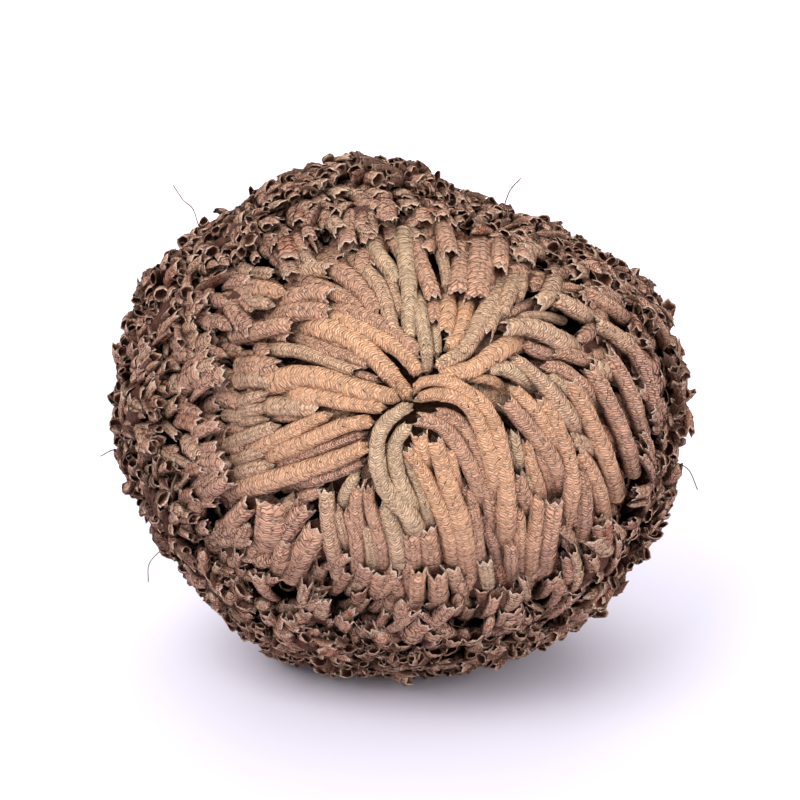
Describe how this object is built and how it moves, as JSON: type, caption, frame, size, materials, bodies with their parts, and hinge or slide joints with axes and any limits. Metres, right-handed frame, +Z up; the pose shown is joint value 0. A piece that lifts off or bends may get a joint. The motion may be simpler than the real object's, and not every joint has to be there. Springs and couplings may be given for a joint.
{
  "type": "dried rose of jericho",
  "caption": "Dried resurrection plant closed into a ball: whorls of scaly curled fronds arching from a woody root crown over a tight mouth, lying on its side.",
  "frame": {"origin": "middle of the patch pressed flat under the ball, where it rests, straight below the ball's centre", "axes": "+Z up, -Y the way the mouth faces, the mouth looking up by 23 degrees, +X to the right as the mouth is looked at"},
  "size_m": [0.0884, 0.086, 0.0762],
  "materials": {
    "outer_frond": "dry, matt, dark brown scaly leaf",
    "middle_frond": "dry, matt, pinkish brown scaly leaf",
    "inner_frond": "dry, matt, tan scaly leaf",
    "heart_frond": "dry, matt, pale tan scaly leaf",
    "root_crown": "dry, rough, woody",
    "root_tuft": "dry, wiry rootlets"
  },
  "bodies": {
    "root": {"heart_frond_01": "heart_frond", "heart_frond_02": "heart_frond", "heart_frond_03": "heart_frond", "heart_frond_04": "heart_frond", "heart_frond_05": "heart_frond", "heart_frond_06": "heart_frond", "heart_frond_07": "heart_frond", "heart_frond_08": "heart_frond", "heart_frond_09": "heart_frond", "inner_frond_01": "inner_frond", "inner_frond_02": "inner_frond", "inner_frond_03": "inner_frond", "inner_frond_04": "inner_frond", "inner_frond_05": "inner_frond", "inner_frond_06": "inner_frond", "inner_frond_07": "inner_frond", "inner_frond_08": "inner_frond", "inner_frond_09": "inner_frond", "inner_frond_10": "inner_frond", "inner_frond_11": "inner_frond", "inner_frond_12": "inner_frond", "inner_frond_13": "inner_frond", "middle_frond_01": "middle_frond", "middle_frond_02": "middle_frond", "middle_frond_03": "middle_frond", "middle_frond_04": "middle_frond", "middle_frond_05": "middle_frond", "middle_frond_06": "middle_frond", "middle_frond_07": "middle_frond", "middle_frond_08": "middle_frond", "middle_frond_09": "middle_frond", "middle_frond_10": "middle_frond", "middle_frond_11": "middle_frond", "middle_frond_12": "middle_frond", "middle_frond_13": "middle_frond", "middle_frond_14": "middle_frond", "middle_frond_15": "middle_frond", "outer_frond_01": "outer_frond", "outer_frond_02": "outer_frond", "outer_frond_03": "outer_frond", "outer_frond_04": "outer_frond", "outer_frond_05": "outer_frond", "outer_frond_06": "outer_frond", "outer_frond_07": "outer_frond", "outer_frond_08": "outer_frond", "outer_frond_09": "outer_frond", "outer_frond_10": "outer_frond", "outer_frond_11": "outer_frond", "outer_frond_12": "outer_frond", "outer_frond_13": "outer_frond", "outer_frond_14": "outer_frond", "outer_frond_15": "outer_frond", "outer_frond_16": "outer_frond", "root_crown": "root_crown", "root_tuft": "root_tuft"}
  },
  "joints": []
}
